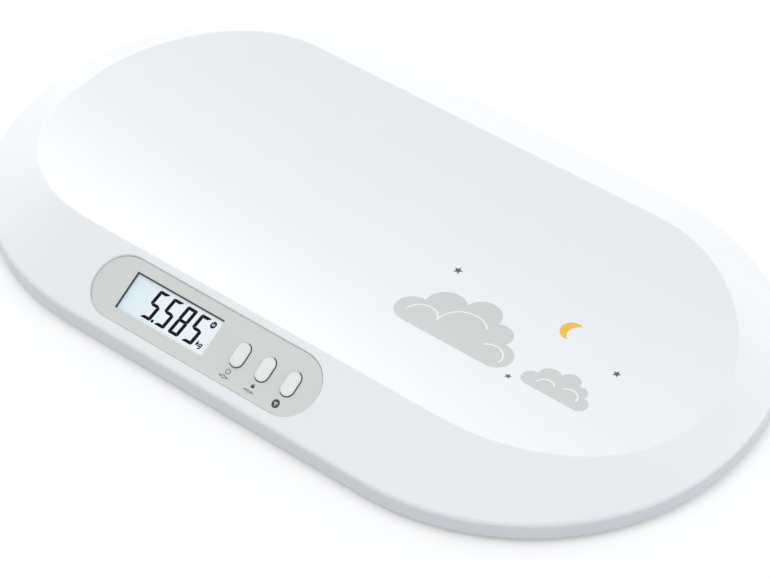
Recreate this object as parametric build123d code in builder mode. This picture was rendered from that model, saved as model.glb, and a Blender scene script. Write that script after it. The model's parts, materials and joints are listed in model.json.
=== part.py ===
"""Digital baby weighing scale: a white tray on a flat stadium-shaped housing with a grey display panel.

Millimetres, +Z up, origin on the floor under the middle of the scale. +X runs along the tray and -Y is
the side with the display panel. Each piece is written to its own STEP file in parts/.
"""

import os
from math import atan2, cos, radians, sin, tan

from build123d import *

os.makedirs("parts", exist_ok=True)

# ---------------------------------------------------------------------------
# Driving dimensions
# ---------------------------------------------------------------------------

# Housing outline and heights
length = 570.0
width = 333.0
end_flat = 6.0  # short straight run left at the middle of each rounded end
ground_gap = 4.5  # from the floor to the lower edge of the side wall
wall_height = 11.5
wall = 2.6
edge_round = 3.0
overcut = 1.0  # how far a cut runs past the face that it opens

# Apron: the slope from the side wall up to the rim of the tray
apron_rise = 30.0
apron_side_run = 53.1  # how far the apron comes in over that rise, at the long sides
apron_end_run = 67.0  # and at the ends
apron_top_radius = 72.0

# Tray: a trough of one radius along the whole length
tray_floor_rise = 12.2  # lowest line of the tray above the top of the side wall
rim_rise = 28.27  # the tray's rim at the long sides above the top of the side wall
rim_round = 2.0

# Stiffening ribs under the tray
rib_thickness = 1.8
rib_bottom = 21.5
long_rib_y = 62.0
long_rib_length = 300.0
cross_rib_x = 100.0
cross_rib_length = 190.0

# Control panel, placed on the front apron: x along the scale, v up the slope
panel_v = 30.15
panel_left_margin = 24.75  # of the panel past the display window
panel_right_margin = 20.55  # past the middle of the last button
panel_height = 43.8
panel_thickness = 1.2
panel_sink = 1.5  # how far its face lies under the apron's surface
panel_gap = 0.12
pocket_draft = 20.0  # degrees that the wall above the panel leans outwards
panel_edge = 0.1
pad_wall = 2.5  # of the shell's thickened patch behind the panel
pad_margin = 3.0

# Display
display_x = -55.9
display_v = 30.45
window_length = 73.0
window_height = 27.4
frame_margin = 4.5  # of the frame round the window
frame_wall = 1.5
frame_lip = 1.0
shade_top = 0.9  # width of the frame's raised edge along the top of the window
shade_left = 0.3  # and along its left side
shade_sink = 0.15  # how far that edge ends under the panel's face
shade_gap = 0.1
frame_gap = 0.3
glass_thickness = 2.0
glass_gap = 0.3
backlight_inset = 0.5  # inside the window's edge
backlight_thickness = 3.5
strip_end_gap = 2.2
strip_width = 2.4

# Buttons
button_names = ["power", "hold", "link"]
button_offset = 23.0  # from the display window's edge to the middle of the first button
button_pitch = 20.4
button_v = 30.1
button_width = 9.5
button_length = 17.1
button_proud = 1.8  # above the panel's face
button_gap = 0.65
button_edge = 1.5
button_travel = 0.8
flange_margin = 1.4
flange_thickness = 1.0
flange_gap = 0.1
stem_diameter = 4.0
stem_length = 1.4

# Push switches on the circuit board
switch_size = 6.0
switch_height = 3.5
switch_corner = 0.4
plunger_diameter = 3.2
plunger_gap = 0.1
plunger_showing = 1.0
plunger_sunk = 2.0

# Circuit board
board_v = 30.2
board_left_margin = 9.0  # past the display frame
board_right_margin = 14.1  # past the middle of the last button
board_height = 37.0
board_thickness = 1.6
board_corner = 2.0
board_screw_inset_x = 5.0
board_screw_inset_v = 4.5
board_boss_diameter = 6.0
board_screw_shank = 2.1
board_screw_head = 4.6
board_screw_head_height = 1.5
board_screw_length = 6.0
screw_gap = 0.1
pilot_extra = 0.5  # depth of a pilot hole past the screw's tip
slot_share = 0.6  # of a screw head's width that its cross slot takes
chip_size = 10.0
chip_thickness = 1.4
chip_x = -48.0
chip_v = 26.0
radio_length = 16.0
radio_height = 12.0
radio_thickness = 2.2
radio_x = 16.0
radio_v = 26.0
plug_length = 6.0
plug_height = 5.0
plug_depth = 4.0
plug_v = 44.0

# Base cover
cover_thickness = 2.4
cover_sink = 0.5  # its underside lies this far above the wall's lower edge
cover_gap = 0.4
cover_rib = 1.6
cover_rib_height = 4.0
cover_rib_inset = 2.0
end_screw_inset = 40.0  # from the housing's end
side_screw_inset = 40.0  # from the housing's side
side_screw_x = 120.0
panel_screw_clearance = 20.0  # past each end of the panel
middle_screw_x = 75.0
middle_screw_y = 18.0
cover_boss_diameter = 9.0
cover_screw_shank = 2.8
cover_screw_head = 6.0
cover_screw_head_height = 1.4
cover_screw_length = 9.0
cover_head_gap = 0.3
slot_width = 0.8
slot_depth = 0.7

# Feet and load cells
foot_end_inset = 100.0  # from the housing's end to the foot's middle
foot_side_inset = 74.5
pad_diameter = 22.0
rubber_thickness = 2.4
rubber_sunk = 1.2
rubber_chamfer = 0.4
cup_diameter = 27.0
cup_height = 5.6
cup_round = 0.8
nub_diameter = 6.0
cell_size = 34.0
cell_thickness = 1.2
cell_corner = 2.0
cell_lift = 2.6  # of the load cell's seat above the base cover
cell_gap = 0.3
cell_slot = 2.0
cell_border = 6.0  # plate left round the slot
foot_hole_gap = 1.5
block_wall = 2.6
block_rise = 1.6  # of the cell's surround above the cell's seat
post_diameter = 4.0
post_inset = 2.4  # from the edge of the load cell to the post's middle
gauge_length = 8.0
gauge_width = 4.0
gauge_thickness = 0.5
gauge_offset = 6.0  # towards the tongue's root
lead_notch = 4.0

# Battery bay: AAA cells side by side, along X
bay_x = 0.0
bay_y = 46.0
bay_wall = 1.6
bay_clearance = 0.3
battery_count = 3
battery_diameter = 10.5
battery_length = 43.3
battery_round = 0.4
nipple_diameter = 3.8
nipple_length = 1.2
battery_spacing = 0.9  # between neighbouring cells
battery_side_gap = 0.75
contact_thickness = 0.4
contact_inset = 1.25  # how much shorter a contact is than its cell is wide, at each edge
spring_wire = 0.7
spring_diameter = 6.0
spring_turns = 4
spring_room = 6.7  # between a cell's flat end and the contact behind its spring

# Battery door
door_margin = 2.2  # how far the door overlaps the bay on each side
door_gap = 0.3
hinge_pip_diameter = 1.4
hinge_pip_length = 1.6
hinge_pip_gap = 0.08
latch_width = 14.0
latch_reach = 7.0
latch_slit = 0.8
grip_ridges = 3
grip_pitch = 1.6
grip_height = 0.4

# Leads inside the housing
lead_diameter = 1.8
lead_floor_gap = 0.1
lead_start = 10.0  # straight run out of its load cell or battery bay
lead_tail = 7.0  # straight run into its plug
lead_foot = 7.0  # how far in front of that run it leaves the floor
bend_share = 0.45  # share of the shorter run that a bend takes up on each side
cell_plug_xs = {"front_left": -84.0, "back_left": -62.0, "back_right": 2.0, "front_right": 30.0}
battery_lead_xs = {"red": -22.0, "black": -18.0}

# ---------------------------------------------------------------------------
# Levels and planes worked out from them
# ---------------------------------------------------------------------------

end_radius = (width - end_flat) / 2
z_edge = ground_gap + wall_height
apron_top_length = length - 2 * apron_end_run
apron_top_width = width - 2 * apron_side_run
slope = atan2(apron_rise, apron_side_run)
z_tray = z_edge + tray_floor_rise
rim_y = width / 2 - rim_rise / tan(slope)
tray_sag = rim_rise - tray_floor_rise
tray_radius = (rim_y**2 + tray_sag**2) / (2 * tray_sag)
apron_drop = wall / cos(slope)
apron_plane = Plane(origin=(0, -width / 2, z_edge), x_dir=(1, 0, 0), z_dir=(0, -sin(slope), cos(slope)))
apron_axis = Axis(origin=apron_plane.origin, direction=apron_plane.z_dir)

z_cover = ground_gap + cover_sink
z_cover_top = z_cover + cover_thickness

window_right = display_x + window_length / 2
button_xs = {
    name: window_right + button_offset + number * button_pitch
    for number, name in enumerate(button_names)
}
last_button_x = button_xs[button_names[-1]]
panel_left = display_x - window_length / 2 - panel_left_margin
panel_right = last_button_x + panel_right_margin
panel_x = (panel_left + panel_right) / 2
panel_length = panel_right - panel_left

pocket_depth = panel_sink + panel_thickness
pad_depth = pocket_depth + pad_wall
frame_length = window_length + 2 * frame_margin
frame_height = window_height + 2 * frame_margin
glass_top = pocket_depth + frame_lip
glass_bottom = glass_top + glass_thickness
flange_top = pad_depth + flange_gap
stem_end = flange_top + flange_thickness + stem_length
switch_top = stem_end + plunger_showing
board_top = switch_top + switch_height
board_bottom = board_top + board_thickness

board_left = display_x - frame_length / 2 - board_left_margin
board_right = last_button_x + board_right_margin
board_x = (board_left + board_right) / 2
board_length = board_right - board_left
board_screw_dx = board_length / 2 - board_screw_inset_x
board_screw_dv = board_height / 2 - board_screw_inset_v
board_screw_places = [
    (board_x + dx, board_v + dv)
    for dx in (-board_screw_dx, board_screw_dx)
    for dv in (-board_screw_dv, board_screw_dv)
]

foot_x = length / 2 - foot_end_inset
foot_y = width / 2 - foot_side_inset
feet = {
    "front_left": (-foot_x, -foot_y),
    "front_right": (foot_x, -foot_y),
    "back_left": (-foot_x, foot_y),
    "back_right": (foot_x, foot_y),
}
cell_seat_z = z_cover_top + cell_lift
cell_top = cell_seat_z + cell_thickness
block_size = cell_size + 2 * (cell_gap + block_wall)
post_pitch = cell_size - 2 * post_inset
tongue_length = cell_size - 2 * cell_border
tongue_width = cell_size - 2 * (cell_border + cell_slot)

cover_screw_places = [
    (-length / 2 + end_screw_inset, 0),
    (length / 2 - end_screw_inset, 0),
    (-side_screw_x, width / 2 - side_screw_inset),
    (side_screw_x, width / 2 - side_screw_inset),
    (panel_x - panel_length / 2 - panel_screw_clearance, -width / 2 + side_screw_inset),
    (panel_x + panel_length / 2 + panel_screw_clearance, -width / 2 + side_screw_inset),
    (-middle_screw_x, middle_screw_y),
    (middle_screw_x, middle_screw_y),
]

battery_pitch = battery_diameter + battery_spacing
bay_length = battery_length + nipple_length + spring_room + 2 * contact_thickness
bay_width = battery_diameter + (battery_count - 1) * battery_pitch + 2 * battery_side_gap
door_length = bay_length + 2 * door_margin
door_width = bay_width + 2 * door_margin
hinge_x = bay_x - door_length / 2
hinge_z = z_cover + cover_thickness / 2
bay_axis_z = z_cover_top + bay_clearance + battery_diameter / 2
bay_ceiling = bay_axis_z + battery_diameter / 2 + bay_clearance


def on_apron(x, v, depth):
    """The point at x along the apron, v up its slope and depth under its surface."""
    return apron_plane.from_local_coords(Vector(x, v, -depth))


def export(builder, name):
    """Labels a finished piece and writes its STEP file."""
    builder.part.label = name
    export_step(builder.part, f"parts/{name}.step")


# ---------------------------------------------------------------------------
# Tray shell: tray, apron and side wall in one moulding
# ---------------------------------------------------------------------------

# Everything hollow inside the moulding, less the bosses, posts and ribs that stand in the hollow
with BuildPart() as hollow:
    with BuildSketch(Plane.XY.offset(ground_gap - overcut)):
        RectangleRounded(length, width, end_radius)
    extrude(amount=z_edge - apron_drop - ground_gap + overcut)
    with BuildSketch(Plane.XY.offset(z_edge - apron_drop)):
        RectangleRounded(length, width, end_radius)
    with BuildSketch(Plane.XY.offset(z_edge - apron_drop + apron_rise)):
        RectangleRounded(apron_top_length, apron_top_width, apron_top_radius)
    loft(ruled=True)
    with BuildSketch(Plane.XY):
        RectangleRounded(length - 2 * wall, width - 2 * wall, end_radius - wall)
    extrude(amount=z_edge + apron_rise, mode=Mode.INTERSECT)
    with BuildSketch(Plane.YZ.offset(-length / 2)):
        with Locations((0, z_tray + tray_radius)):
            Circle(tray_radius + wall)
    extrude(amount=length, mode=Mode.SUBTRACT)
    # thickened patch behind the panel, and the board's screw bosses under it
    with BuildSketch(apron_plane):
        with Locations((panel_x, panel_v)):
            SlotOverall(panel_length + 2 * pad_margin, panel_height + 2 * pad_margin)
    extrude(amount=-pad_depth, mode=Mode.SUBTRACT)
    with BuildSketch(apron_plane.offset(-pad_depth + overcut)):
        with Locations(board_screw_places):
            Circle(board_boss_diameter / 2)
    extrude(amount=-(board_top - pad_depth + overcut), mode=Mode.SUBTRACT)
    # bosses for the cover's screws
    with BuildSketch(Plane.XY.offset(z_cover_top)):
        with Locations(cover_screw_places):
            Circle(cover_boss_diameter / 2)
    extrude(amount=apron_rise + wall_height, mode=Mode.SUBTRACT)
    # posts that press on the corners of each load cell
    with BuildSketch(Plane.XY.offset(cell_top)):
        with Locations(list(feet.values())):
            with GridLocations(post_pitch, post_pitch, 2, 2):
                Circle(post_diameter / 2)
    extrude(amount=apron_rise + wall_height, mode=Mode.SUBTRACT)
    # ribs under the tray
    with BuildSketch(Plane.XY.offset(rib_bottom)):
        with Locations((0, -long_rib_y), (0, long_rib_y)):
            Rectangle(long_rib_length, rib_thickness)
        with Locations((-cross_rib_x, 0), (cross_rib_x, 0)):
            Rectangle(rib_thickness, cross_rib_length)
    extrude(amount=apron_rise, mode=Mode.SUBTRACT)

with BuildPart() as tray_shell:
    with BuildSketch(Plane.XY.offset(ground_gap)):
        RectangleRounded(length, width, end_radius)
    extrude(amount=wall_height)
    with BuildSketch(Plane.XY.offset(z_edge)):
        RectangleRounded(length, width, end_radius)
    with BuildSketch(Plane.XY.offset(z_edge + apron_rise)):
        RectangleRounded(apron_top_length, apron_top_width, apron_top_radius)
    loft(ruled=True)
    with BuildSketch(Plane.YZ.offset(-length / 2)):
        with Locations((0, z_tray + tray_radius)):
            Circle(tray_radius)
    extrude(amount=length, mode=Mode.SUBTRACT)
    trough = tray_shell.faces().filter_by(GeomType.CYLINDER).sort_by(SortBy.AREA)[-1]
    fillet(trough.edges(), radius=rim_round)
    wall_edges = tray_shell.edges().filter_by_position(Axis.Z, z_edge - 0.01, z_edge + 0.01)
    fillet(wall_edges, radius=edge_round)
    add(hollow.part, mode=Mode.SUBTRACT)
    # shallow pocket for the panel, the opening for the display frame and the button holes
    with BuildSketch(apron_plane):
        with Locations((panel_x, panel_v)):
            SlotOverall(panel_length + 2 * panel_gap, panel_height + 2 * panel_gap)
    extrude(amount=-pocket_depth, mode=Mode.SUBTRACT)
    draft_margin = 2 * (panel_gap + panel_sink * tan(radians(pocket_draft)))
    with BuildSketch(apron_plane):
        with Locations((panel_x, panel_v)):
            SlotOverall(panel_length + draft_margin, panel_height + draft_margin)
    extrude(amount=-panel_sink, taper=pocket_draft, mode=Mode.SUBTRACT)
    with BuildSketch(apron_plane):
        with Locations((display_x, display_v)):
            Rectangle(frame_length + 2 * frame_gap, frame_height + 2 * frame_gap)
        with Locations([(x, button_v) for x in button_xs.values()]):
            SlotOverall(button_length + 2 * button_gap, button_width + 2 * button_gap, rotation=90)
    extrude(amount=-(pad_depth + overcut), mode=Mode.SUBTRACT)
    # pilot holes
    with BuildSketch(apron_plane.offset(-board_top)):
        with Locations(board_screw_places):
            Circle(board_screw_shank / 2 + screw_gap)
    extrude(amount=board_screw_length - board_thickness + pilot_extra, mode=Mode.SUBTRACT)
    with BuildSketch(Plane.XY.offset(z_cover_top)):
        with Locations(cover_screw_places):
            Circle(cover_screw_shank / 2 + screw_gap)
    extrude(amount=cover_screw_length - cover_thickness + pilot_extra, mode=Mode.SUBTRACT)
export(tray_shell, "tray_shell")

# ---------------------------------------------------------------------------
# Base cover: plate with a rim rib, load-cell surrounds and the battery bay
# ---------------------------------------------------------------------------

cover_length = length - 2 * (wall + cover_gap)
cover_width = width - 2 * (wall + cover_gap)
cover_radius = end_radius - wall - cover_gap

with BuildPart() as base_cover:
    with BuildSketch(Plane.XY.offset(z_cover)):
        RectangleRounded(cover_length, cover_width, cover_radius)
    extrude(amount=cover_thickness)
    # rim rib
    inset = 2 * cover_rib_inset
    with BuildSketch(Plane.XY.offset(z_cover_top)):
        RectangleRounded(cover_length - inset, cover_width - inset, cover_radius - cover_rib_inset)
        RectangleRounded(
            cover_length - inset - 2 * cover_rib,
            cover_width - inset - 2 * cover_rib,
            cover_radius - cover_rib_inset - cover_rib,
            mode=Mode.SUBTRACT,
        )
    extrude(amount=cover_rib_height)
    # a square surround that seats each load cell, with the foot's hole under it
    with BuildSketch(Plane.XY.offset(z_cover_top)):
        with Locations(list(feet.values())):
            RectangleRounded(block_size, block_size, block_wall)
    extrude(amount=cell_seat_z + block_rise - z_cover_top)
    with BuildSketch(Plane.XY.offset(cell_seat_z)):
        with Locations(list(feet.values())):
            Rectangle(cell_size + 2 * cell_gap, cell_size + 2 * cell_gap)
    extrude(amount=block_rise, mode=Mode.SUBTRACT)
    with BuildSketch(Plane.XY.offset(z_cover)):
        with Locations(list(feet.values())):
            Circle(cup_diameter / 2 + foot_hole_gap)
    extrude(amount=cell_seat_z - z_cover, mode=Mode.SUBTRACT)
    # notch for each cell's lead, on the side that faces the middle of the scale
    notch_xs = [x + (block_size - block_wall) / 2 * (-1 if x > 0 else 1) for x, y in feet.values()]
    notch_ys = [y for x, y in feet.values()]
    with BuildSketch(Plane.XY.offset(z_cover_top)):
        with Locations(list(zip(notch_xs, notch_ys))):
            Rectangle(2 * block_wall, lead_notch)
    extrude(amount=cell_seat_z + block_rise - z_cover_top, mode=Mode.SUBTRACT)
    # battery bay, open downwards
    with BuildSketch(Plane.XY.offset(z_cover_top)):
        with Locations((bay_x, bay_y)):
            Rectangle(door_length + 2 * bay_wall, door_width + 2 * bay_wall)
    extrude(amount=bay_wall)
    with BuildSketch(Plane.XY.offset(z_cover_top)):
        with Locations((bay_x, bay_y)):
            Rectangle(bay_length + 2 * bay_wall, bay_width + 2 * bay_wall)
    extrude(amount=bay_ceiling + bay_wall - z_cover_top)
    with BuildSketch(Plane.XY.offset(z_cover)):
        with Locations((bay_x, bay_y)):
            Rectangle(bay_length, bay_width)
    extrude(amount=bay_ceiling - z_cover, mode=Mode.SUBTRACT)
    # opening for the door, with a round root for its hinge edge and holes for its pips
    with BuildSketch(Plane.XY.offset(z_cover)):
        with Locations((bay_x, bay_y)):
            Rectangle(door_length + 2 * door_gap, door_width + 2 * door_gap)
    extrude(amount=cover_thickness, mode=Mode.SUBTRACT)
    with BuildSketch(Plane.XZ.offset(-bay_y)):
        with Locations((hinge_x + cover_thickness / 2, hinge_z)):
            Circle(hinge_pip_diameter / 2 + hinge_pip_gap)
    extrude(amount=door_width / 2 + hinge_pip_length + door_gap, both=True, mode=Mode.SUBTRACT)
    # screw holes with recessed heads
    with BuildSketch(Plane.XY.offset(z_cover)):
        with Locations(cover_screw_places):
            Circle(cover_screw_head / 2 + cover_head_gap)
    extrude(amount=cover_screw_head_height, mode=Mode.SUBTRACT)
    with BuildSketch(Plane.XY.offset(z_cover)):
        with Locations(cover_screw_places):
            Circle(cover_screw_shank / 2 + cover_head_gap)
    extrude(amount=cover_thickness, mode=Mode.SUBTRACT)
export(base_cover, "base_cover")

# ---------------------------------------------------------------------------
# Control panel and display
# ---------------------------------------------------------------------------

with BuildPart() as control_panel:
    with BuildSketch(apron_plane.offset(-pocket_depth)):
        with Locations((panel_x, panel_v)):
            SlotOverall(panel_length, panel_height)
        with Locations((display_x, display_v)):
            Rectangle(window_length, window_height, mode=Mode.SUBTRACT)
        with Locations([(x, button_v) for x in button_xs.values()]):
            SlotOverall(
                button_length + 2 * button_gap,
                button_width + 2 * button_gap,
                rotation=90,
                mode=Mode.SUBTRACT,
            )
    extrude(amount=panel_thickness)
    panel_face = control_panel.faces().sort_by(apron_axis)[-1]
    chamfer(panel_face.outer_wire().edges(), length=panel_edge)
export(control_panel, "control_panel")

with BuildPart() as display_frame:
    with BuildSketch(apron_plane.offset(-pocket_depth)):
        with Locations((display_x, display_v)):
            Rectangle(frame_length, frame_height)
    extrude(amount=-(board_top - pocket_depth))
    with BuildSketch(apron_plane.offset(-glass_top)):
        with Locations((display_x, display_v)):
            Rectangle(frame_length - 2 * frame_wall, frame_height - 2 * frame_wall)
    extrude(amount=-(board_top - glass_top), mode=Mode.SUBTRACT)
    # raised edge that stands in the window, cut away along its right side and its bottom
    with BuildSketch(apron_plane.offset(-pocket_depth)):
        with Locations((display_x, display_v)):
            Rectangle(window_length - 2 * shade_gap, window_height - 2 * shade_gap)
    extrude(amount=panel_thickness - shade_sink)
    with BuildSketch(apron_plane.offset(-panel_sink)):
        with Locations((display_x + shade_left / 2, display_v - shade_top / 2)):
            Rectangle(window_length - shade_left, window_height - shade_top)
    extrude(amount=-(glass_top - panel_sink), mode=Mode.SUBTRACT)
export(display_frame, "display_frame")

glass_length = frame_length - 2 * (frame_wall + glass_gap)
glass_height = frame_height - 2 * (frame_wall + glass_gap)
strip_v = (glass_height - strip_width) / 2

with BuildPart() as lcd_glass:
    with BuildSketch(apron_plane.offset(-glass_bottom)):
        with Locations((display_x, display_v)):
            Rectangle(glass_length, glass_height)
    extrude(amount=glass_thickness)
export(lcd_glass, "lcd_glass")

with BuildPart() as lcd_backlight:
    with BuildSketch(apron_plane.offset(-glass_bottom)):
        with Locations((display_x, display_v)):
            Rectangle(window_length - 2 * backlight_inset, window_height - 2 * backlight_inset)
    extrude(amount=-backlight_thickness)
export(lcd_backlight, "lcd_backlight")

with BuildPart() as lcd_contact_strips:
    with BuildSketch(apron_plane.offset(-glass_bottom)):
        with Locations((display_x, display_v - strip_v), (display_x, display_v + strip_v)):
            Rectangle(glass_length - 2 * strip_end_gap, strip_width)
    extrude(amount=-(board_top - glass_bottom))
export(lcd_contact_strips, "lcd_contact_strips")

# ---------------------------------------------------------------------------
# Circuit board and what is on it
# ---------------------------------------------------------------------------

with BuildPart() as circuit_board:
    with BuildSketch(apron_plane.offset(-board_bottom)):
        with Locations((board_x, board_v)):
            RectangleRounded(board_length, board_height, board_corner)
        with Locations(board_screw_places):
            Circle(board_screw_shank / 2 + 2 * screw_gap, mode=Mode.SUBTRACT)
    extrude(amount=board_thickness)
export(circuit_board, "circuit_board")

with BuildPart() as controller_chip:
    with BuildSketch(apron_plane.offset(-board_bottom)):
        with Locations((chip_x, chip_v)):
            Rectangle(chip_size, chip_size)
    extrude(amount=-chip_thickness)
export(controller_chip, "controller_chip")

with BuildPart() as radio_module:
    with BuildSketch(apron_plane.offset(-board_bottom)):
        with Locations((radio_x, radio_v)):
            Rectangle(radio_length, radio_height)
    extrude(amount=-radio_thickness)
export(radio_module, "radio_module")

battery_plug_x = sum(battery_lead_xs.values()) / len(battery_lead_xs)
with BuildPart() as lead_plugs:
    with BuildSketch(apron_plane.offset(-board_bottom)):
        with Locations([(x, plug_v) for x in [*cell_plug_xs.values(), battery_plug_x]]):
            Rectangle(plug_length, plug_height)
    extrude(amount=-plug_depth)
export(lead_plugs, "lead_plugs")

with BuildPart() as board_screws:
    with BuildSketch(apron_plane.offset(-board_bottom)):
        with Locations(board_screw_places):
            Circle(board_screw_head / 2)
    extrude(amount=-board_screw_head_height)
    with BuildSketch(apron_plane.offset(-board_bottom)):
        with Locations(board_screw_places):
            Circle(board_screw_shank / 2)
    extrude(amount=board_screw_length)
    with BuildSketch(apron_plane.offset(-board_bottom - board_screw_head_height)):
        with Locations(board_screw_places):
            Rectangle(board_screw_head * slot_share, slot_width)
            Rectangle(slot_width, board_screw_head * slot_share)
    extrude(amount=slot_depth, mode=Mode.SUBTRACT)
export(board_screws, "board_screws")

# ---------------------------------------------------------------------------
# Buttons, each with its push switch
# ---------------------------------------------------------------------------

for name, x in button_xs.items():
    with BuildPart() as button:
        with BuildSketch(apron_plane.offset(-flange_top)):
            with Locations((x, button_v)):
                SlotOverall(button_length, button_width, rotation=90)
        extrude(amount=flange_top - panel_sink + button_proud)
        cap_face = button.faces().sort_by(apron_axis)[-1]
        fillet(cap_face.edges(), radius=button_edge)
        with BuildSketch(apron_plane.offset(-flange_top)):
            with Locations((x, button_v)):
                SlotOverall(button_length + 2 * flange_margin, button_width + 2 * flange_margin, rotation=90)
        extrude(amount=-flange_thickness)
        with BuildSketch(apron_plane.offset(-flange_top - flange_thickness)):
            with Locations((x, button_v)):
                Circle(stem_diameter / 2)
        extrude(amount=-stem_length)
    export(button, f"{name}_button")

    with BuildPart() as plunger:
        with BuildSketch(apron_plane.offset(-stem_end)):
            with Locations((x, button_v)):
                Circle(plunger_diameter / 2)
        extrude(amount=-(plunger_showing + plunger_sunk))
    export(plunger, f"{name}_switch_plunger")

    with BuildPart() as switch:
        with BuildSketch(apron_plane.offset(-board_top)):
            with Locations((x, button_v)):
                RectangleRounded(switch_size, switch_size, switch_corner)
        extrude(amount=switch_height)
        with BuildSketch(apron_plane.offset(-switch_top)):
            with Locations((x, button_v)):
                Circle(plunger_diameter / 2 + plunger_gap)
        extrude(amount=-(plunger_sunk + button_travel + plunger_gap), mode=Mode.SUBTRACT)
    export(switch, f"{name}_switch")

# ---------------------------------------------------------------------------
# Feet: rubber pad, cup, load cell and strain gauge at each corner
# ---------------------------------------------------------------------------

cup_bottom = rubber_thickness - rubber_sunk
for name, (x, y) in feet.items():
    with BuildPart() as foot_pad:
        with BuildSketch(Plane.XY):
            with Locations((x, y)):
                Circle(pad_diameter / 2)
        extrude(amount=rubber_thickness)
        chamfer(foot_pad.edges().group_by(Axis.Z)[0], length=rubber_chamfer)
    export(foot_pad, f"foot_pad_{name}")

    with BuildPart() as foot_cup:
        with BuildSketch(Plane.XY.offset(cup_bottom)):
            with Locations((x, y)):
                Circle(cup_diameter / 2)
        extrude(amount=cup_height)
        fillet(foot_cup.edges().group_by(Axis.Z)[0], radius=cup_round)
        with BuildSketch(Plane.XY.offset(cup_bottom)):
            with Locations((x, y)):
                Circle(pad_diameter / 2)
        extrude(amount=rubber_sunk, mode=Mode.SUBTRACT)
        with BuildSketch(Plane.XY.offset(cup_bottom + cup_height)):
            with Locations((x, y)):
                Circle(nub_diameter / 2)
        extrude(amount=cell_seat_z - cup_bottom - cup_height)
    export(foot_cup, f"foot_cup_{name}")

    towards_middle = -1 if x > 0 else 1
    with BuildPart() as load_cell:
        with BuildSketch(Plane.XY.offset(cell_seat_z)):
            with Locations((x, y)):
                RectangleRounded(cell_size, cell_size, cell_corner)
                # the slit round the tongue, which stays joined on the side towards the middle
                Rectangle(tongue_length, tongue_length, mode=Mode.SUBTRACT)
                with Locations((towards_middle * cell_slot / 2, 0)):
                    Rectangle(tongue_length - cell_slot, tongue_width)
        extrude(amount=cell_thickness)
    export(load_cell, f"load_cell_{name}")

with BuildPart() as strain_gauges:
    with BuildSketch(Plane.XY.offset(cell_top)):
        with Locations([(x + gauge_offset * (-1 if x > 0 else 1), y) for x, y in feet.values()]):
            Rectangle(gauge_length, gauge_width)
    extrude(amount=gauge_thickness)
export(strain_gauges, "strain_gauges")

# ---------------------------------------------------------------------------
# Battery bay: cells, contacts, springs and the door
# ---------------------------------------------------------------------------

bay_left = bay_x - bay_length / 2
bay_right = bay_x + bay_length / 2
contact_size = battery_diameter - 2 * contact_inset
battery_ys = [bay_y + (n - (battery_count - 1) / 2) * battery_pitch for n in range(battery_count)]
for number, y in enumerate(battery_ys):
    nipple_side = 1 if number % 2 == 0 else -1  # every second cell is turned round
    nipple_wall = bay_x + nipple_side * (bay_length / 2 - contact_thickness)
    can_end = nipple_wall - nipple_side * nipple_length
    can_start = can_end - nipple_side * battery_length
    spring_seat = can_start - nipple_side * spring_room

    with BuildPart() as battery_cell:
        with BuildSketch(Plane.YZ.offset(can_start)):
            with Locations((y, bay_axis_z)):
                Circle(battery_diameter / 2)
        extrude(amount=nipple_side * battery_length)
        fillet(battery_cell.edges().filter_by(GeomType.CIRCLE), radius=battery_round)
        with BuildSketch(Plane.YZ.offset(can_end)):
            with Locations((y, bay_axis_z)):
                Circle(nipple_diameter / 2)
        extrude(amount=nipple_side * nipple_length)
    export(battery_cell, f"battery_cell_{number + 1}")

    with BuildPart() as battery_spring:
        coil_height = spring_room - spring_wire
        coil_start = (spring_seat + nipple_side * spring_wire / 2, y, bay_axis_z)
        coil_radius = (spring_diameter - spring_wire) / 2
        coil_direction = (nipple_side, 0, 0)
        with BuildLine() as coil:
            Helix(coil_height / spring_turns, coil_height, coil_radius, coil_start, coil_direction)
        with BuildSketch(Plane(origin=coil.line @ 0, z_dir=coil.line % 0)):
            Circle(spring_wire / 2)
        sweep(path=coil.line)
    export(battery_spring, f"battery_spring_{number + 1}")

with BuildPart() as battery_contacts:
    for end in (bay_left, bay_right - contact_thickness):
        with BuildSketch(Plane.YZ.offset(end)):
            with Locations([(y, bay_axis_z) for y in battery_ys]):
                Rectangle(contact_size, contact_size)
        extrude(amount=contact_thickness)
export(battery_contacts, "battery_contacts")

door_mid_x = bay_x + cover_thickness / 4
with BuildPart() as battery_door:
    with BuildSketch(Plane.XZ.offset(-bay_y)):
        with Locations((hinge_x + cover_thickness / 2, hinge_z)):
            Circle(cover_thickness / 2)
        with Locations((door_mid_x, hinge_z)):
            Rectangle(door_length - cover_thickness / 2, cover_thickness)
    extrude(amount=door_width / 2, both=True)
    with BuildSketch(Plane.XZ.offset(-bay_y)):
        with Locations((hinge_x + cover_thickness / 2, hinge_z)):
            Circle(hinge_pip_diameter / 2)
    extrude(amount=door_width / 2 + hinge_pip_length, both=True)
    # two slits free the latch tongue at the edge away from the hinge
    latch_x = bay_x + (door_length - latch_reach) / 2
    with BuildSketch(Plane.XY.offset(z_cover)):
        with Locations((latch_x, bay_y - latch_width / 2), (latch_x, bay_y + latch_width / 2)):
            Rectangle(latch_reach, latch_slit)
    extrude(amount=cover_thickness, mode=Mode.SUBTRACT)
    # grip grooves on the tongue's underside
    with BuildSketch(Plane.XY.offset(z_cover)):
        with Locations((latch_x, bay_y)):
            with GridLocations(grip_pitch, 0, grip_ridges, 1):
                Rectangle(grip_pitch / 2, latch_width - 4 * latch_slit)
    extrude(amount=grip_height, mode=Mode.SUBTRACT)
export(battery_door, "battery_door")

# ---------------------------------------------------------------------------
# Cover screws
# ---------------------------------------------------------------------------

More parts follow.
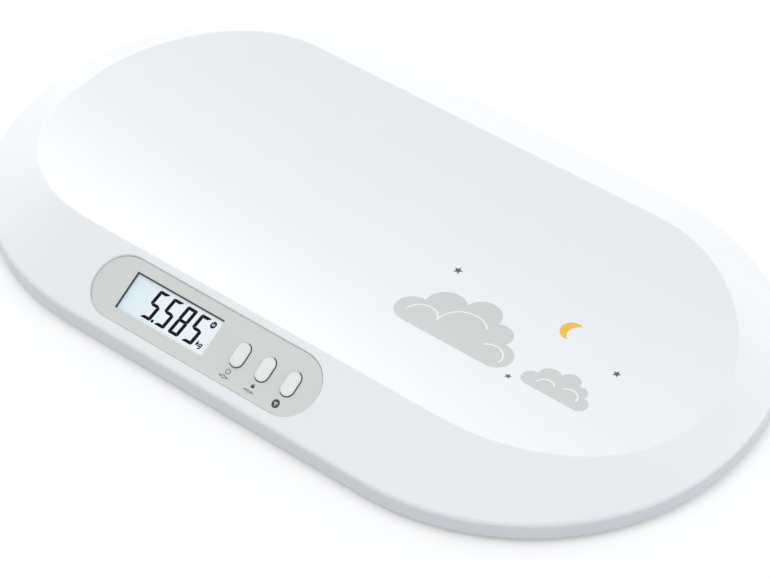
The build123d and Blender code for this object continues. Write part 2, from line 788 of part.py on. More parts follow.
with BuildPart() as cover_screws:
    with BuildSketch(Plane.XY.offset(z_cover)):
        with Locations(cover_screw_places):
            Circle(cover_screw_head / 2)
    extrude(amount=cover_screw_head_height)
    with BuildSketch(Plane.XY.offset(z_cover)):
        with Locations(cover_screw_places):
            Circle(cover_screw_shank / 2)
    extrude(amount=cover_screw_length)
    with BuildSketch(Plane.XY.offset(z_cover)):
        with Locations(cover_screw_places):
            Rectangle(cover_screw_head * slot_share, slot_width)
            Rectangle(slot_width, cover_screw_head * slot_share)
    extrude(amount=slot_depth, mode=Mode.SUBTRACT)
export(cover_screws, "cover_screws")

# ---------------------------------------------------------------------------
# Leads: from each load cell and from the battery bay to the plugs under the board
# ---------------------------------------------------------------------------

plug_mouth = board_bottom + plug_depth
lead_z = z_cover_top + lead_floor_gap + lead_diameter / 2


def write_lead(name, start, floor_points, plug_x):
    """A round lead from its start, along the cover's floor and up into its plug under the board.

    Each bend is as wide as the two runs beside it allow.
    """
    mouth = on_apron(plug_x, plug_v, plug_mouth)
    turn = on_apron(plug_x, plug_v, plug_mouth + lead_tail)
    foot = Vector(plug_x, turn.Y + lead_foot, lead_z)
    points = [Vector(*point) for point in start]
    points += [Vector(x, y, lead_z) for x, y in floor_points]
    points += [foot, turn, mouth]
    radii = []
    for before, corner, after in zip(points, points[1:], points[2:]):
        run_in = corner - before
        run_out = after - corner
        half_turn = radians(run_in.get_angle(run_out)) / 2
        radii.append(bend_share * min(run_in.length, run_out.length) / tan(half_turn))
    with BuildPart() as lead:
        with BuildLine() as route:
            FilletPolyline(*points, radius=radii)
        with BuildSketch(Plane(origin=route.line @ 0, z_dir=route.line % 0)):
            Circle(lead_diameter / 2)
        sweep(path=route.line)
    print(name, "bends", [round(radius, 1) for radius in radii], "length", round(route.wire().length, 1))
    export(lead, name)


cell_leads = {
    "front_left": [(-145, -94), (-124, -99), (-101, -104)],
    "back_left": [(-143, 89), (-124, 73), (-105, 34), (-92, -10), (-78, -52), (-66, -84)],
    "back_right": [(143, 90), (124, 76), (104, 40), (84, -4), (55, -46), (24, -78), (6, -97)],
    "front_right": [(144, -94), (121, -99), (92, -97), (62, -101), (43, -106)],
}
for name, (x, y) in feet.items():
    towards_middle = -1 if x > 0 else 1
    level = cell_seat_z + cell_thickness / 2
    edge = x + towards_middle * cell_size / 2
    start = [(edge, y, level), (edge + towards_middle * lead_start, y, level)]
    write_lead(f"cell_lead_{name}", start, cell_leads[name], cell_plug_xs[name])

battery_lead_run = [(-1, 1), (-4, -26), (-2, -62), (1.5, -92)]
for name, x in battery_lead_xs.items():
    bay_face = bay_y - bay_width / 2 - bay_wall
    start = [(x, bay_face, bay_axis_z), (x, bay_face - lead_start, bay_axis_z)]
    write_lead(f"battery_lead_{name}", start, [(x + dx, y) for dx, y in battery_lead_run], x)
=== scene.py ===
"""Looks of the digital baby weighing scale: finishes, prints, display digits and the small moulded
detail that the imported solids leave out, with a pale floor, soft lamps and the camera.

Lengths are in metres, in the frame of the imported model: +X along the tray, -Y the panel side, +Z up.
"""

import json
from math import atan, atan2, cos, pi, radians, sin, sqrt, tan

import bmesh
import bpy
from mathutils import Matrix, Vector


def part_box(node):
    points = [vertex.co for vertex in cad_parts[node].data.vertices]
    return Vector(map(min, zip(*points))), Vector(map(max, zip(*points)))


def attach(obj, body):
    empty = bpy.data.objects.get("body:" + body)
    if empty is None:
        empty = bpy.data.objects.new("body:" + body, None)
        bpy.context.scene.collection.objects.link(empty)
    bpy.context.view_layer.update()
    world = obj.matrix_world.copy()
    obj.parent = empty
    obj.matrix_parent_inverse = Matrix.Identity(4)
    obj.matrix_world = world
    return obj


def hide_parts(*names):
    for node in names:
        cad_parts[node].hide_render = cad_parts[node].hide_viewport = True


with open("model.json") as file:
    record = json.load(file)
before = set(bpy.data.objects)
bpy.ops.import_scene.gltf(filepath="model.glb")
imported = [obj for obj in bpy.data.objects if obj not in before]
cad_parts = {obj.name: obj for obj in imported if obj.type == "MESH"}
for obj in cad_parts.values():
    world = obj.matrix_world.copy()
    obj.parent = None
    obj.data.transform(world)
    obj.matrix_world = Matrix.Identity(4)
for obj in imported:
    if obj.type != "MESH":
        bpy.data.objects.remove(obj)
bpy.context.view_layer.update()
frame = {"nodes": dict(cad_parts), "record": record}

MM = 0.001

# ---------------------------------------------------------------------------
# Measures shared with the solids
# ---------------------------------------------------------------------------

SHELL_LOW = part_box("tray_shell")[0]
WALL_HEIGHT = 11.5 * MM
EDGE_Z = SHELL_LOW[2] + WALL_HEIGHT  # top of the side wall, where the apron starts
APRON_RISE = 30.0 * MM
APRON_RUN = 53.1 * MM  # how far the front apron comes in over that rise
APRON_SLOPE = atan2(APRON_RISE, APRON_RUN)
TRAY_FLOOR_RISE = 12.2 * MM  # from the top of the side wall to the tray's lowest line
TRAY_FLOOR_Z = EDGE_Z + TRAY_FLOOR_RISE
TRAY_RADIUS = 429.96 * MM

# depths under the apron's surface
PANEL_SINK = 1.5 * MM
GLASS_DEPTH = 3.7 * MM

# the apron's plane: x along the scale, y up the slope from its lower edge, z out of it
APRON = Matrix.Translation((0, SHELL_LOW[1], EDGE_Z)) @ Matrix.Rotation(APRON_SLOPE, 4, "X")


def tray_height(y):
    """Height of the tray's surface, a trough along X, at a distance y from its middle line."""
    return TRAY_FLOOR_Z + TRAY_RADIUS - sqrt(TRAY_RADIUS**2 - y**2)


# ---------------------------------------------------------------------------
# Finishes
# ---------------------------------------------------------------------------


def srgb(red, green, blue):
    """A colour given as 0 to 255 on screen, as the linear RGBA that shaders take."""
    def linear(value):
        value /= 255
        return value / 12.92 if value <= 0.04045 else ((value + 0.055) / 1.055) ** 2.4
    return (linear(red), linear(green), linear(blue), 1.0)


def shade(colour, factor):
    """A darker or lighter colour of the same hue."""
    return (colour[0] * factor, colour[1] * factor, colour[2] * factor, 1.0)


class Finish:
    """A material under construction: its nodes, its links and its main shader."""

    def __init__(self, name):
        self.material = bpy.data.materials.new(name)
        self.material.use_nodes = True
        self.tree = self.material.node_tree
        self.shader = self.tree.nodes["Principled BSDF"]
        self.place = self.add("ShaderNodeTexCoord").outputs["Object"]

    def add(self, kind, **settings):
        """A new node, with its settings."""
        node = self.tree.nodes.new(kind)
        for key, value in settings.items():
            setattr(node, key, value)
        return node

    def link(self, source, target):
        """A link from an output to an input."""
        self.tree.links.new(source, target)

    def feed(self, source, socket):
        """Links an output to a socket of the main shader."""
        self.link(source, self.shader.inputs[socket])

    def noise(self, size, detail=2.0, roughness=0.5, stretch=(1, 1, 1)):
        """Noise whose blobs are about as large as size."""
        scale = self.add("ShaderNodeMapping")
        scale.inputs["Scale"].default_value = stretch
        self.link(self.place, scale.inputs["Vector"])
        node = self.add("ShaderNodeTexNoise")
        node.inputs["Scale"].default_value = 1 / size
        node.inputs["Detail"].default_value = detail
        node.inputs["Roughness"].default_value = roughness
        self.link(scale.outputs["Vector"], node.inputs["Vector"])
        return node.outputs["Fac"]

    def ramp(self, source, *stops):
        """Turns a value into a colour; each stop is a position and a colour."""
        node = self.add("ShaderNodeValToRGB")
        elements = node.color_ramp.elements
        while len(elements) < len(stops):
            elements.new(0.5)
        for element, (position, colour) in zip(elements, stops):
            element.position = position
            element.color = colour
        self.link(source, node.inputs["Fac"])
        return node.outputs["Color"]

    def spread(self, source, low, high):
        """Maps a value of 0 to 1 to the range low to high."""
        node = self.add("ShaderNodeMapRange")
        node.inputs["To Min"].default_value = low
        node.inputs["To Max"].default_value = high
        self.link(source, node.inputs["Value"])
        return node.outputs["Result"]

    def bump(self, source, depth):
        """Turns a value of 0 to 1 to relief of that depth."""
        node = self.add("ShaderNodeBump")
        node.inputs["Distance"].default_value = depth
        self.link(source, node.inputs["Height"])
        return node.outputs["Normal"]

    def set(self, **sockets):
        """Sets sockets of the main shader that are the same all over."""
        for key, value in sockets.items():
            self.shader.inputs[key.replace("_", " ")].default_value = value


def moulded(name, colour, roughness, grain, depth, mottle=0.015):
    """Moulded plastic: faint colour drift, a fine grain and a slightly uneven gloss."""
    finish = Finish(name)
    drift = finish.noise(35 * MM, detail=3.0)
    tint = finish.ramp(drift, (0.3, shade(colour, 1 - mottle)), (0.7, colour))
    finish.feed(tint, "Base Color")
    gloss = finish.noise(9 * MM, detail=4.0)
    finish.feed(finish.spread(gloss, roughness - 0.04, roughness + 0.04), "Roughness")
    fine = finish.noise(grain, detail=3.0, roughness=0.6)
    finish.feed(finish.bump(fine, depth), "Normal")
    return finish.material


def metal(name, colour, roughness, grain, stretch=(1, 1, 1)):
    """Plain metal with fine brushing or stamping marks."""
    finish = Finish(name)
    finish.set(Metallic=1.0)
    marks = finish.noise(grain, detail=4.0, roughness=0.6, stretch=stretch)
    tint = finish.ramp(marks, (0.25, shade(colour, 0.82)), (0.75, colour))
    finish.feed(tint, "Base Color")
    finish.feed(finish.spread(marks, roughness - 0.08, roughness + 0.08), "Roughness")
    finish.feed(finish.bump(marks, 0.01 * MM), "Normal")
    return finish.material


def rubber(name, colour, grain=0.6 * MM):
    """Soft matt rubber with a dusty, slightly pitted face."""
    finish = Finish(name)
    dust = finish.noise(6 * MM, detail=5.0, roughness=0.65)
    tint = finish.ramp(dust, (0.3, shade(colour, 0.88)), (0.75, colour))
    finish.feed(tint, "Base Color")
    finish.feed(finish.spread(dust, 0.72, 0.88), "Roughness")
    pits = finish.noise(grain, detail=4.0)
    finish.feed(finish.bump(pits, 0.03 * MM), "Normal")
    return finish.material


def ink(name, colour, roughness=0.45, gloss=0.5):
    """Pad-printed ink: an even film with a trace of the plastic's grain."""
    finish = Finish(name)
    finish.set(Specular_IOR_Level=gloss)
    film = finish.noise(2.5 * MM, detail=3.0)
    tint = finish.ramp(film, (0.3, shade(colour, 0.985)), (0.7, colour))
    finish.feed(tint, "Base Color")
    finish.feed(finish.spread(film, roughness - 0.03, roughness + 0.03), "Roughness")
    grain = finish.noise(0.4 * MM)
    finish.feed(finish.bump(grain, 0.004 * MM), "Normal")
    return finish.material


# where along the scale the display's cool tint starts to fade, and where it has gone
COOL_UNTIL = -92 * MM
PLAIN_FROM = -52 * MM
FADE = 0.8  # share of that change in the display's colour
HAZE = 0.25  # and of soft patches, to both sides


def lit_display(name, cool, colour, glow):
    """The display's face: pale, lit from behind, cooler towards its left end, with a faint grain."""
    finish = Finish(name)
    parts = finish.add("ShaderNodeSeparateXYZ")
    finish.link(finish.place, parts.inputs["Vector"])
    along = finish.add("ShaderNodeMapRange", interpolation_type="SMOOTHSTEP")
    along.inputs["From Min"].default_value = COOL_UNTIL
    along.inputs["From Max"].default_value = PLAIN_FROM
    finish.link(parts.outputs["X"], along.inputs["Value"])
    haze = finish.noise(14 * MM, detail=2.0)
    mixed = finish.add("ShaderNodeMath", operation="MULTIPLY_ADD")
    finish.link(along.outputs["Result"], mixed.inputs[0])
    mixed.inputs[1].default_value = FADE
    finish.link(finish.spread(haze, -HAZE, HAZE), mixed.inputs[2])
    tint = finish.ramp(mixed.outputs["Value"], (0.1, cool), (0.7, colour))
    finish.feed(tint, "Base Color")
    finish.feed(tint, "Emission Color")
    grain = finish.noise(0.25 * MM)
    finish.feed(finish.spread(grain, 0.16, 0.22), "Roughness")
    finish.set(Emission_Strength=glow)
    return finish.material


def board_finish(name, colour):
    """Green lacquer over copper tracks."""
    finish = Finish(name)
    tracks = finish.add("ShaderNodeTexBrick")
    tracks.inputs["Scale"].default_value = 140.0
    tracks.inputs["Mortar Size"].default_value = 0.03
    tracks.inputs["Color1"].default_value = colour
    tracks.inputs["Color2"].default_value = shade(colour, 0.8)
    tracks.inputs["Mortar"].default_value = shade(colour, 1.9)
    finish.link(finish.place, tracks.inputs["Vector"])
    finish.feed(tracks.outputs["Color"], "Base Color")
    finish.feed(finish.bump(tracks.outputs["Fac"], 0.02 * MM), "Normal")
    finish.set(Roughness=0.3)
    return finish.material


SHELL_WHITE = srgb(246, 247, 249)
BASE_WHITE = srgb(236, 237, 239)
PANEL_GREY = srgb(221, 223, 219)
BUTTON_WHITE = srgb(243, 245, 244)
DISPLAY_COOL = srgb(214, 226, 234)
DISPLAY_FACE = srgb(222, 230, 235)
PRINT_GREY = srgb(211, 213, 212)
PRINT_YELLOW = srgb(248, 196, 78)
PRINT_DARK = srgb(98, 84, 82)
INK_BLACK = srgb(4, 5, 7)
ICON_DARK = srgb(52, 54, 55)

# moulded: name, colour, roughness, size and depth of its grain, and how far its colour drifts
# metal and rubber: name, colour, metal's roughness, size of its grain
finishes = {
    "white_shell": moulded("white_shell_plastic", SHELL_WHITE, 0.38, 0.9 * MM, 0.004 * MM, 0.006),
    "base_plastic": moulded("base_cover_plastic", BASE_WHITE, 0.55, 0.7 * MM, 0.02 * MM),
    "panel_grey": moulded("control_panel_plastic", PANEL_GREY, 0.42, 0.5 * MM, 0.008 * MM, 0.02),
    "button_white": moulded("button_plastic", BUTTON_WHITE, 0.26, 0.8 * MM, 0.003 * MM, 0.01),
    # the display frame's own dark plastic; the frame's lip along the window's top and left shows as a
    # dark line that is partly painted shade of the recess, and this finish also colours the painted
    # shade at the panel's edge and in the buttons' gaps
    "frame_dark": moulded("display_frame_plastic_and_painted_shade", srgb(48, 52, 53), 0.5, 0.6 * MM, 0.01 * MM),
    "lcd_face": lit_display("display_face", DISPLAY_COOL, DISPLAY_FACE, 0.25),
    "backlight": moulded("light_guide", srgb(235, 240, 244), 0.4, 0.8 * MM, 0.004 * MM),
    "contact_rubber": rubber("contact_strip_rubber", srgb(90, 90, 92), 0.3 * MM),
    "board_green": board_finish("board_lacquer", srgb(30, 92, 58)),
    "chip_black": moulded("chip_epoxy", srgb(38, 38, 40), 0.6, 0.3 * MM, 0.01 * MM),
    "radio_metal": metal("radio_shield", srgb(200, 200, 202), 0.35, 0.8 * MM),
    "plug_white": moulded("plug_nylon", srgb(232, 229, 216), 0.5, 0.6 * MM, 0.008 * MM),
    "steel": metal("zinc_plate", srgb(196, 198, 200), 0.32, 0.7 * MM),
    "spring_steel": metal("nickel_plate", srgb(205, 203, 198), 0.28, 0.6 * MM),
    "cell_steel": metal("stamped_steel", srgb(172, 174, 176), 0.4, 0.5 * MM, (0.2, 1, 1)),
    "switch_black": moulded("switch_plastic", srgb(40, 40, 41), 0.5, 0.5 * MM, 0.01 * MM),
    "foot_rubber": rubber("foot_pad_rubber", srgb(186, 188, 190)),
    "foot_plastic": moulded("foot_cup_plastic", srgb(232, 233, 235), 0.5, 0.7 * MM, 0.015 * MM),
    "gauge_film": moulded("gauge_film", srgb(214, 168, 84), 0.4, 0.5 * MM, 0.006 * MM),
    "battery_can": metal("battery_sleeve", srgb(92, 98, 106), 0.3, 1.0 * MM),
    "lead_sleeve": rubber("lead_sleeve_grey", srgb(200, 200, 200), 0.8 * MM),
    "lead_red": rubber("lead_insulation_red", srgb(190, 40, 36), 0.8 * MM),
    "lead_black": rubber("lead_insulation_black", srgb(34, 34, 35), 0.8 * MM),
}

# ink: name, colour, roughness and gloss
print_grey = ink("tray_print_grey", PRINT_GREY)
print_white = ink("tray_print_white", srgb(247, 248, 249))
print_yellow = ink("tray_print_yellow", PRINT_YELLOW)
print_dark = ink("tray_print_dark", PRINT_DARK)
panel_ink = ink("panel_mark_ink", ICON_DARK, 0.5)
display_ink = ink("display_segment_ink", INK_BLACK, 0.5, 0.1)

for entry in frame["record"]["subparts"]:
    solid = frame["nodes"][entry["node"]]
    solid.data.materials.clear()
    solid.data.materials.append(finishes[entry["material_slot"]])

# ---------------------------------------------------------------------------
# Flat shapes that prints and display marks are made from
# ---------------------------------------------------------------------------

# an arc is drawn in steps of this angle, and none longer than the chord on a wide ribbon
ARC_STEP = radians(12)
CHORD = 2.5 * MM
SAME_POINT = 0.001 * MM


def arc(bm, start, end, bulge):
    """A row of edges from start to end. A bulge of 1 is a half circle to the left of the way there."""
    start, end = Vector((*start, 0)), Vector((*end, 0))
    chord = end - start
    vertex = bmesh.ops.create_vert(bm, co=start)["vert"][0]
    if bulge == 0:
        other = bmesh.ops.create_vert(bm, co=end)["vert"][0]
        bm.edges.new((vertex, other))
        return
    size = abs(bulge)
    side = 1 if bulge > 0 else -1
    left = Vector((-chord.y, chord.x, 0)).normalized()
    radius = chord.length * (1 + size**2) / (4 * size)
    rise = size * chord.length / 2
    centre = (start + end) / 2 - left * side * (radius - rise)
    angle = 4 * atan(size)
    steps = max(3, round(angle / ARC_STEP))
    bmesh.ops.spin(bm, geom=[vertex], cent=centre, axis=(0, 0, -side), angle=angle, steps=steps)


def outline(bm, points):
    """Fills a closed outline. Each point is x, y and the bulge of the arc that leads to the next one."""
    for (x, y, bulge), (next_x, next_y, _) in zip(points, points[1:] + points[:1]):
        arc(bm, (x, y), (next_x, next_y), bulge)
    loose = [vertex for vertex in bm.verts if not vertex.link_faces]
    bmesh.ops.remove_doubles(bm, verts=loose, dist=SAME_POINT)
    edges = [edge for edge in bm.edges if not edge.link_faces]
    bmesh.ops.triangle_fill(bm, edges=edges, use_beauty=True, normal=(0, 0, 1))


def ribbon(bm, centre, radius, start, sweep, width):
    """A line of even width along an arc, from the angle start over the angle sweep, in degrees."""
    direction = Vector((cos(radians(start)), sin(radians(start)), 0))
    centre = Vector((*centre, 0))
    inner = bmesh.ops.create_vert(bm, co=centre + direction * (radius - width / 2))["vert"][0]
    outer = bmesh.ops.create_vert(bm, co=centre + direction * (radius + width / 2))["vert"][0]
    edge = bm.edges.new((inner, outer))
    angle = abs(radians(sweep))
    steps = max(4, round(angle / ARC_STEP), round(radius * angle / CHORD))
    bmesh.ops.spin(
        bm, geom=[inner, outer, edge], cent=centre, axis=(0, 0, 1), angle=radians(sweep), steps=steps,
        use_merge=abs(sweep) == 360,
    )


def band(bm, middle, length, width, corner, line):
    """A line of even width along a rectangle with round corners."""
    run_x = length / 2 - corner
    run_y = width / 2 - corner
    for across, upwards, start in ((1, 1, 0), (-1, 1, 90), (-1, -1, 180), (1, -1, 270)):
        ribbon(bm, (middle[0] + across * run_x, middle[1] + upwards * run_y), corner, start, 90, line)
    for side in (-1, 1):
        level = middle[1] + side * width / 2
        upright = middle[0] + side * length / 2
        bar(bm, (middle[0] - run_x, level), (middle[0] + run_x, level), line)
        bar(bm, (upright, middle[1] - run_y), (upright, middle[1] + run_y), line)
    bmesh.ops.remove_doubles(bm, verts=bm.verts, dist=SAME_POINT)


def plate(bm, corners):
    """A flat face between a few corners."""
    made = [bmesh.ops.create_vert(bm, co=(x, y, 0))["vert"][0] for x, y in corners]
    bmesh.ops.contextual_create(bm, geom=made)


def bar(bm, start, end, width):
    """A straight stroke."""
    start, end = Vector(start), Vector(end)
    along = (end - start).normalized()
    across = Vector((-along.y, along.x)) * width / 2
    plate(bm, [start + across, start - across, end - across, end + across])


def disc(bm, centre, radius, segments):
    """A filled circle."""
    place = Matrix.Translation((*centre, 0))
    bmesh.ops.create_circle(bm, cap_ends=True, radius=radius, segments=segments, matrix=place)


def star(bm, centre, radius, points, waist):
    """A star: a disc of twice as many corners, every second one drawn in to the waist."""
    made = bmesh.ops.create_circle(bm, cap_ends=True, radius=1.0, segments=2 * points)["verts"]
    for number, vertex in enumerate(made):
        vertex.co *= radius * (waist if number % 2 else 1.0)
    bmesh.ops.translate(bm, verts=made, vec=(*centre, 0))


def finish_piece(bm, name, material, body):
    """Turns a bmesh into a piece that rides on a body and shows a finish."""
    bmesh.ops.recalc_face_normals(bm, faces=bm.faces)
    mesh = bpy.data.meshes.new(name)
    bm.to_mesh(mesh)
    bm.free()
    piece = bpy.data.objects.new(name, mesh)
    bpy.context.scene.collection.objects.link(piece)
    mesh.materials.append(material)
    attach(piece, body)
    return piece


def thicken(bm, depth):
    """Gives a flat shape its underside and its edge."""
    bm.normal_update()
    bmesh.ops.reverse_faces(bm, faces=[face for face in bm.faces if face.normal.z < 0])
    made = bmesh.ops.extrude_face_region(bm, geom=bm.faces[:], use_keep_orig=True)["geom"]
    lower = [item for item in made if isinstance(item, bmesh.types.BMVert)]
    bmesh.ops.translate(bm, verts=lower, vec=(0, 0, -depth))


PRINT_FILM = 0.12 * MM
PRINT_LIFT = 0.06 * MM
STRIP = 6 * MM  # width of the strips that follow the tray's curve
MARK_FILM = 0.05 * MM
MARK_LIFT = 0.03 * MM


def print_on_tray(bm, name, material, layer=0):
    """Lays a flat print on the tray. A higher layer lies on the ones below it."""
    low = min(vertex.co.y for vertex in bm.verts)
    high = max(vertex.co.y for vertex in bm.verts)
    for number in range(1, int((high - low) / STRIP) + 1):
        everything = bm.verts[:] + bm.edges[:] + bm.faces[:]
        line = (0, low + number * STRIP, 0)
        bmesh.ops.bisect_plane(bm, geom=everything, plane_co=line, plane_no=(0, 1, 0))
    thicken(bm, PRINT_FILM)
    for vertex in bm.verts:
        vertex.co.z += tray_height(vertex.co.y) + PRINT_LIFT * (1 + layer)
    return finish_piece(bm, name, material, "scale")


def print_on_apron(bm, name, material, depth, film=MARK_FILM, lift=MARK_LIFT, body="scale"):
    """Lays a flat mark along the apron, its top a lift above a depth under the apron's surface."""
    thicken(bm, film)
    bmesh.ops.transform(bm, matrix=APRON @ Matrix.Translation((0, 0, lift - depth)), verts=bm.verts)
    return finish_piece(bm, name, material, body)


# ---------------------------------------------------------------------------
# Print on the tray: clouds, a moon and stars
# ---------------------------------------------------------------------------

# x, y and the bulge of the arc to the next point, for a cloud that reaches about 1 to each side
CLOUD = [
    (-0.72, -0.50, 1.0),
    (-0.72, 0.06, 0.75),
    (-0.20, 0.34, 0.95),
    (0.36, 0.30, 0.75),
    (0.68, 0.02, 0.95),
    (0.74, -0.50, 0.0),
]
# white lines drawn inside the clouds: x, y and radius in millimetres, start and sweep in degrees
CURLS = [
    (70, -42, 11, 20, 160),
    (97, -36, 17, 40, 150),
    (124, -44, 10, -10, 150),
    (168, -44, 6, 30, 150),
    (184, -43, 7, -5, 150),
]
CURL_LINE = 1.1 * MM
# x, y and the bulge of the arc to the other point: a full outer arc, then a hollow one back
MOON = [(154 * MM, 0, 1.45), (156 * MM, 14.62 * MM, -0.62)]
# x, y and radius in millimetres
STARS = [(62, 8, 3.4), (196, -6, 3.0), (146, -52, 2.6)]
STAR_POINTS = 5
STAR_WAIST = 0.45


def cloud(name, x, y, half_width):
    """A grey cloud with its middle at x, y."""
    bm = bmesh.new()
    outline(bm, [(x + px * half_width, y + py * half_width, bulge) for px, py, bulge in CLOUD])
    print_on_tray(bm, name, print_grey)


cloud("print_cloud_large", 96 * MM, -30 * MM, 46 * MM)
cloud("print_cloud_small", 176 * MM, -38 * MM, 25 * MM)

bm = bmesh.new()
for x, y, radius, start, sweep in CURLS:
    ribbon(bm, (x * MM, y * MM), radius * MM, start, sweep, CURL_LINE)
print_on_tray(bm, "print_cloud_curls", print_white, 1)

bm = bmesh.new()
outline(bm, MOON)
print_on_tray(bm, "print_moon", print_yellow)

bm = bmesh.new()
for x, y, radius in STARS:
    star(bm, (x * MM, y * MM), radius * MM, STAR_POINTS, STAR_WAIST)
print_on_tray(bm, "print_stars_dark", print_dark)

# ---------------------------------------------------------------------------
# Display: seven-segment digits, the unit and a signal mark
# ---------------------------------------------------------------------------

DIGIT_WIDTH = 8.5 * MM  # over the outsides of its upright strokes
DIGIT_HEIGHT = 21.1 * MM
UPRIGHT = 2.55 * MM  # width of an upright stroke
LEVEL = 2.15 * MM  # and of a level one
CORNER_CUT = 0.9 * MM  # taken off the digit's outer corners
WAIST = 0.6 * MM  # how far its sides are nicked at the middle
STROKE_GAP = 0.03 * MM
DIGIT_SLANT = tan(radians(7.4))
DIGIT_PITCH = 11.65 * MM
FIRST_DIGIT = (-69.08 * MM, 30.62 * MM)  # its middle
DOT_SIZE = 1.95 * MM
DOT_SHIFT = -0.15 * MM  # from the middle between the first two digits
SHOWN = "5585"

DIGIT_SIDE = DIGIT_WIDTH / 2
DIGIT_TOP = DIGIT_HEIGHT / 2
TOP_STROKE = [
    (CORNER_CUT - DIGIT_SIDE, DIGIT_TOP),
    (DIGIT_SIDE - CORNER_CUT, DIGIT_TOP),
    (DIGIT_SIDE - CORNER_CUT / 2 - STROKE_GAP, DIGIT_TOP - CORNER_CUT / 2),
    (DIGIT_SIDE - UPRIGHT - STROKE_GAP, DIGIT_TOP - LEVEL),
    (UPRIGHT + STROKE_GAP - DIGIT_SIDE, DIGIT_TOP - LEVEL),
    (CORNER_CUT / 2 + STROKE_GAP - DIGIT_SIDE, DIGIT_TOP - CORNER_CUT / 2),
]
RIGHT_STROKE = [
    (DIGIT_SIDE, DIGIT_TOP - CORNER_CUT),
    (DIGIT_SIDE, WAIST),
    (DIGIT_SIDE - WAIST, STROKE_GAP),
    (DIGIT_SIDE - UPRIGHT, LEVEL / 2 + STROKE_GAP),
    (DIGIT_SIDE - UPRIGHT, DIGIT_TOP - LEVEL - STROKE_GAP),
    (DIGIT_SIDE - CORNER_CUT / 2, DIGIT_TOP - CORNER_CUT / 2 - STROKE_GAP),
]
MIDDLE_STROKE = [
    (WAIST + STROKE_GAP - DIGIT_SIDE, 0),
    (UPRIGHT + STROKE_GAP - DIGIT_SIDE, LEVEL / 2),
    (DIGIT_SIDE - UPRIGHT - STROKE_GAP, LEVEL / 2),
    (DIGIT_SIDE - WAIST - STROKE_GAP, 0),
    (DIGIT_SIDE - UPRIGHT - STROKE_GAP, -LEVEL / 2),
    (UPRIGHT + STROKE_GAP - DIGIT_SIDE, -LEVEL / 2),
]
# each stroke is one of these three shapes, mirrored across the digit where it has a -1
STROKES = {
    "top": (TOP_STROKE, 1, 1),
    "middle": (MIDDLE_STROKE, 1, 1),
    "bottom": (TOP_STROKE, 1, -1),
    "upper_left": (RIGHT_STROKE, -1, 1),
    "upper_right": (RIGHT_STROKE, 1, 1),
    "lower_left": (RIGHT_STROKE, -1, -1),
    "lower_right": (RIGHT_STROKE, 1, -1),
}
LIT = {
    "5": ("top", "upper_left", "middle", "lower_right", "bottom"),
    "8": tuple(STROKES),
}


def lean(bm, middle):
    """Slants everything in the bmesh as the digits are, about the height of a middle."""
    for vertex in bm.verts:
        vertex.co.x += (vertex.co.y - middle) * DIGIT_SLANT


bm = bmesh.new()
for place, digit in enumerate(SHOWN):
    digit_x = FIRST_DIGIT[0] + place * DIGIT_PITCH
    for stroke in LIT[digit]:
        corners, across, upwards = STROKES[stroke]
        plate(bm, [(digit_x + across * x, FIRST_DIGIT[1] + upwards * y) for x, y in corners])
dot_x = FIRST_DIGIT[0] + DIGIT_PITCH / 2 + DOT_SHIFT
dot_y = FIRST_DIGIT[1] - DIGIT_TOP + DOT_SIZE / 2
bar(bm, (dot_x - DOT_SIZE / 2, dot_y), (dot_x + DOT_SIZE / 2, dot_y), DOT_SIZE)
lean(bm, FIRST_DIGIT[1])
print_on_apron(bm, "display_digits", display_ink, GLASS_DEPTH)

# "kg": upright, arm and leg, then a bowl, a stem and a hook
UNIT = (-28.9 * MM, 21.75 * MM)  # foot of the k
UNIT_LINE = 0.8 * MM
K_HEIGHT = 3.4 * MM
BOWL = 0.9 * MM  # radius of the bowl and of the hook
BOWL_Y = 1.2 * MM
STEM = 4.05 * MM
STEM_TOP = 2.3 * MM
STEM_FOOT = -0.3 * MM
bm = bmesh.new()
bar(bm, (0, 0), (0, K_HEIGHT), UNIT_LINE)
bar(bm, (0.2 * MM, 1.05 * MM), (1.5 * MM, 2.35 * MM), UNIT_LINE)
bar(bm, (0.6 * MM, 1.5 * MM), (1.6 * MM, 0), UNIT_LINE)
ribbon(bm, (STEM - BOWL, BOWL_Y), BOWL, 0, 360, UNIT_LINE)
bar(bm, (STEM, STEM_TOP), (STEM, STEM_FOOT), UNIT_LINE)
ribbon(bm, (STEM - BOWL, STEM_FOOT), BOWL, -140, 140, UNIT_LINE)
lean(bm, 0)
bmesh.ops.translate(bm, verts=bm.verts, vec=(*UNIT, 0))
print_on_apron(bm, "display_unit", display_ink, GLASS_DEPTH)

# an upright oval ring with a stroke in it stands for the link
RING = (-25.7 * MM, 38.3 * MM)
RING_RADIUS = 1.55 * MM
RING_WIDTH = 1.1 * MM
RING_STRETCH = 1.17  # height over width
STROKE_REACH = 1.1 * MM
STROKE_WIDTH = 0.65 * MM
bm = bmesh.new()
ribbon(bm, (0, 0), RING_RADIUS, 0, 360, RING_WIDTH)
bar(bm, (0, -STROKE_REACH), (0, STROKE_REACH), STROKE_WIDTH)
bmesh.ops.scale(bm, verts=bm.verts, vec=(1, RING_STRETCH, 1))
lean(bm, 0)
bmesh.ops.translate(bm, verts=bm.verts, vec=(*RING, 0))
print_on_apron(bm, "display_link_ring", display_ink, GLASS_DEPTH)

# ---------------------------------------------------------------------------
# Marks on the panel under the buttons
# ---------------------------------------------------------------------------

MARK_LINE = 0.5 * MM
THIN_LINE = 0.4 * MM
ARROW_ROOM = 1.6 * MM  # from an arrow's tip to what it points at
BARB = (0.9 * MM, 0.8 * MM)  # how far an arrow's barb reaches back and to the side


def panel_mark(bm, name):
    """Prints a mark on the panel's face."""
    print_on_apron(bm, name, panel_ink, PANEL_SINK)


